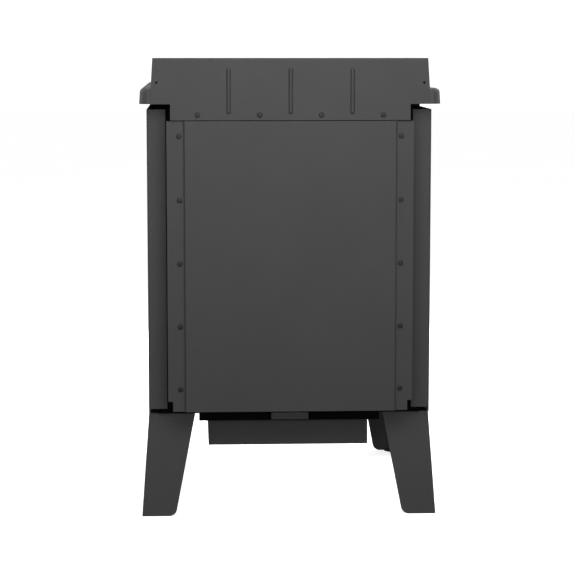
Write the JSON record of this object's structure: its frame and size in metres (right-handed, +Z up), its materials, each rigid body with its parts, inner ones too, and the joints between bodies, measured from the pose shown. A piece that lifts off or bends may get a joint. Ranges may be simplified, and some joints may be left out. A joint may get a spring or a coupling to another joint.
{
  "type": "wood cookstove",
  "caption": "Charcoal wood cookstove on splayed angle legs: cast cooktop with lift-out lids, backguard, rear heat shield, firebox and oven doors, ash drawer.",
  "frame": {"origin": "floor under the middle of the stove", "axes": "+Z up, front faces -Y, +X to the right of someone facing the front"},
  "size_m": [0.624, 0.815, 0.965],
  "materials": {
    "charcoal_paint": "matte charcoal stove paint on sheet steel",
    "black_steel": "flat black high-heat paint",
    "black_cast_iron": "blacked cast iron",
    "firebrick": "porous refractory brick",
    "stainless": "brushed stainless steel",
    "zinc_screws": "blackened zinc",
    "oven_enamel": "dark speckled enamel",
    "fire_glass": "clear ceramic glass",
    "glass_fibre": "braided glass fibre",
    "turned_wood": "oiled turned hardwood"
  },
  "bodies": {
    "stove_body": {"leg_front_left": "charcoal_paint", "leg_front_right": "charcoal_paint", "leg_rear_right": "charcoal_paint", "leg_rear_left": "charcoal_paint", "leg_bolts": "zinc_screws", "base_plate": "black_steel", "shell_left_wall": "black_steel", "shell_right_wall": "black_steel", "shell_rear_wall": "black_steel", "shell_front_wall": "black_steel", "front_plate": "black_cast_iron", "cooktop_gasket": "glass_fibre", "side_panel_left": "charcoal_paint", "side_panel_right": "charcoal_paint", "panel_spacers": "black_steel", "rear_heat_shield": "charcoal_paint", "shield_rails": "black_steel", "shield_screws": "zinc_screws", "backguard": "charcoal_paint", "guard_bracket": "black_steel", "guard_screws": "zinc_screws", "cooktop": "black_cast_iron", "flue_collar": "black_cast_iron", "floor_bricks": "firebrick", "wall_bricks": "firebrick", "grate": "black_cast_iron", "secondary_air_tubes": "stainless", "baffle": "firebrick", "oven_liner": "oven_enamel", "oven_rack": "stainless", "hinge_brackets": "black_steel", "hinge_pins": "stainless", "latch_keepers": "black_steel", "air_chamber": "black_steel", "air_inlet_cover": "charcoal_paint", "ash_housing": "charcoal_paint", "air_guides": "black_steel"},
    "firebox_door": {"firebox_door": "black_cast_iron", "firebox_glass": "fire_glass", "glass_gasket": "glass_fibre", "glass_clips": "stainless", "firebox_rope": "glass_fibre"},
    "firebox_latch": {"firebox_latch": "black_steel", "firebox_grip": "turned_wood"},
    "oven_door": {"oven_door": "black_cast_iron", "oven_rope": "glass_fibre", "oven_thermometer": "stainless"},
    "oven_latch": {"oven_latch": "black_steel", "oven_grip": "turned_wood"},
    "ash_drawer": {"ash_drawer": "charcoal_paint", "ash_handle": "turned_wood"},
    "air_slider": {"air_slider": "black_steel", "air_knob": "turned_wood"},
    "bypass_damper": {"bypass_damper": "black_steel", "bypass_rod": "stainless", "bypass_knob": "turned_wood"},
    "hob_ring": {"hob_ring": "black_cast_iron"},
    "small_lid": {"hob_lid_small": "black_cast_iron"},
    "large_lid": {"hob_lid_large": "black_cast_iron"}
  },
  "joints": [
    {"name": "firebox_door_hinge", "type": "hinge", "parent": "stove_body", "child": "firebox_door", "pos_m": [-0.228, -0.34, 0.388], "axis": [0, 0, -1], "range_deg": [0, 110]},
    {"name": "firebox_latch_turn", "type": "hinge", "parent": "firebox_door", "child": "firebox_latch", "pos_m": [0.196, -0.3965, 0.388], "axis": [0, -1, 0], "range_deg": [0, 85]},
    {"name": "oven_door_hinge", "type": "hinge", "parent": "stove_body", "child": "oven_door", "pos_m": [-0.228, -0.34, 0.685], "axis": [0, 0, -1], "range_deg": [0, 110]},
    {"name": "oven_latch_turn", "type": "hinge", "parent": "oven_door", "child": "oven_latch", "pos_m": [0.196, -0.3965, 0.685], "axis": [0, -1, 0], "range_deg": [0, 85]},
    {"name": "ash_drawer_slide", "type": "slide", "parent": "stove_body", "child": "ash_drawer", "axis": [0, -1, 0], "range_m": [0, 0.4]},
    {"name": "air_slide", "type": "slide", "parent": "stove_body", "child": "air_slider", "axis": [1, 0, 0], "range_m": [0, 0.02]},
    {"name": "bypass_slide", "type": "slide", "parent": "stove_body", "child": "bypass_damper", "axis": [0, -1, 0], "range_m": [0, 0.07]},
    {"name": "hob_ring_lift", "type": "slide", "parent": "stove_body", "child": "hob_ring", "axis": [0, 0, 1], "range_m": [0, 0.08]},
    {"name": "small_lid_lift", "type": "slide", "parent": "hob_ring", "child": "small_lid", "axis": [0, 0, 1], "range_m": [0, 0.08]},
    {"name": "large_lid_lift", "type": "slide", "parent": "stove_body", "child": "large_lid", "axis": [0, 0, 1], "range_m": [0, 0.08]}
  ]
}
